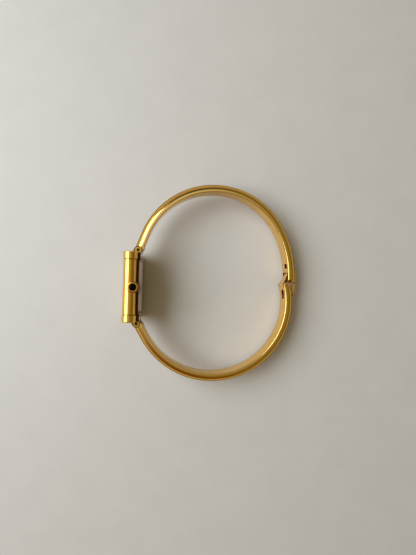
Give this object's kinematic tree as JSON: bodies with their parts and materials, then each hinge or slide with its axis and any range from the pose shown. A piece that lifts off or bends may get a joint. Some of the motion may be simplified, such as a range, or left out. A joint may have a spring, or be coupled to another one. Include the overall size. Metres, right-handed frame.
{
  "type": "bangle watch",
  "caption": "Rectangular quartz wristwatch on a rigid hinged bangle: slim case between two round bars, two D-section arms on lug pins and a hooked clasp.",
  "frame": {"origin": "on the ground, centred under the box of the watch lying on its 9 o'clock side", "axes": "+X from the dial towards the clasp, +Y towards 12 o'clock, +Z along the crown"},
  "size_m": [0.0548, 0.0624, 0.0227],
  "materials": {
    "gold_plate": "polished gold plate",
    "gold_lining": "brushed gold plate",
    "steel": "brushed stainless steel",
    "pin_steel": "dark oxidised steel",
    "small_steel": "fine turned steel",
    "movement_brass": "gilt brass",
    "motion_brass": "gilt brass",
    "movement_plastic": "moulded plastic",
    "copper_winding": "enamelled copper wire",
    "crystal_glass": "clear polished mineral glass",
    "gasket_rubber": "soft black nitrile rubber",
    "dial_lacquer": "satin cream lacquer",
    "marker_gold": "polished gold plate",
    "hand_black": "gloss black lacquer",
    "onyx": "polished black cabochon"
  },
  "bodies": {
    "case": {"case_middle": "gold_plate", "bezel": "gold_plate", "crystal": "crystal_glass", "crystal_gasket": "gasket_rubber", "dial": "dial_lacquer", "hour_markers": "marker_gold", "movement_holder": "movement_plastic", "main_plate": "movement_plastic", "train_bridge": "small_steel", "battery": "small_steel", "battery_clamp": "movement_brass", "coil": "copper_winding", "coil_core": "small_steel", "stator": "small_steel", "circuit_board": "movement_plastic", "control_chip": "movement_plastic", "quartz_can": "small_steel", "movement_screws": "small_steel", "stem_clip": "small_steel", "case_tube": "gold_plate", "case_back": "steel", "case_back_gasket": "gasket_rubber", "upper_hinge_pin": "pin_steel", "lower_hinge_pin": "pin_steel"},
    "upper_arm": {"upper_arm_shell": "gold_plate", "upper_arm_liner": "gold_lining", "upper_hinge_block": "gold_plate", "upper_clasp_fork": "gold_plate", "fork_pins": "pin_steel", "clasp_cover": "gold_plate", "lever_pin": "pin_steel"},
    "lower_arm": {"lower_arm_shell": "gold_plate", "lower_arm_liner": "gold_lining", "lower_hinge_block": "gold_plate", "lower_clasp_block": "gold_plate", "clasp_tongue": "gold_lining"},
    "clasp_lever": {"clasp_lever": "gold_plate"},
    "setting_pinion": {"setting_pinion": "small_steel"},
    "crown": {"crown": "gold_plate", "crown_stone": "onyx", "crown_gasket": "gasket_rubber", "winding_stem": "small_steel"},
    "centre_wheel": {"centre_wheel": "movement_brass", "minute_hand": "hand_black"},
    "hour_wheel": {"hour_wheel": "motion_brass", "hour_hand": "hand_black"},
    "minute_wheel": {"minute_wheel": "motion_brass"},
    "third_wheel": {"third_wheel": "movement_brass"},
    "intermediate_wheel": {"intermediate_wheel": "movement_brass"},
    "rotor": {"rotor": "small_steel"}
  },
  "joints": [
    {"name": "upper_arm_hinge", "type": "hinge", "parent": "case", "child": "upper_arm", "pos_m": [-0.02329, 0.00945, 0.01038], "axis": [0, 0, 1], "range_deg": [0, 35]},
    {"name": "lower_arm_hinge", "type": "hinge", "parent": "case", "child": "lower_arm", "pos_m": [-0.02329, -0.01305, 0.01038], "axis": [0, 0, -1], "range_deg": [0, 35]},
    {"name": "lever_hinge", "type": "hinge", "parent": "upper_arm", "child": "clasp_lever", "pos_m": [0.02706, 0.00065, 0.01038], "axis": [0, 0, 1], "range_deg": [0, 85]},
    {"name": "crown_turn", "type": "hinge", "parent": "case", "child": "setting_pinion", "pos_m": [-0.02419, -0.0018, 0.01338], "axis": [0, 0, 1], "continuous": true},
    {"name": "crown_pull", "type": "slide", "parent": "setting_pinion", "child": "crown", "axis": [0, 0, 1], "range_m": [0, 0.0008]},
    {"name": "minute_hand_turn", "type": "hinge", "parent": "case", "child": "centre_wheel", "pos_m": [-0.02479, -0.0018, 0.01038], "axis": [1, 0, 0], "continuous": true},
    {"name": "hour_hand_turn", "type": "hinge", "parent": "case", "child": "hour_wheel", "pos_m": [-0.02479, -0.0018, 0.01038], "axis": [1, 0, 0], "continuous": true},
    {"name": "minute_wheel_turn", "type": "hinge", "parent": "case", "child": "minute_wheel", "pos_m": [-0.02479, -0.0018, 0.01178], "axis": [1, 0, 0], "continuous": true},
    {"name": "third_wheel_turn", "type": "hinge", "parent": "case", "child": "third_wheel", "pos_m": [-0.02479, -0.00286, 0.01077], "axis": [1, 0, 0], "continuous": true},
    {"name": "intermediate_wheel_turn", "type": "hinge", "parent": "case", "child": "intermediate_wheel", "pos_m": [-0.02479, -0.00389, 0.01039], "axis": [1, 0, 0], "continuous": true},
    {"name": "rotor_turn", "type": "hinge", "parent": "case", "child": "rotor", "pos_m": [-0.02479, -0.00499, 0.01039], "axis": [1, 0, 0], "continuous": true}
  ],
  "couplings": [
    {"joint": "hour_hand_turn", "follows": "minute_hand_turn", "ratio": 0.083333},
    {"joint": "minute_wheel_turn", "follows": "minute_hand_turn", "ratio": -0.33333},
    {"joint": "third_wheel_turn", "follows": "minute_hand_turn", "ratio": -4},
    {"joint": "intermediate_wheel_turn", "follows": "minute_hand_turn", "ratio": 18},
    {"joint": "rotor_turn", "follows": "minute_hand_turn", "ratio": -81}
  ]
}
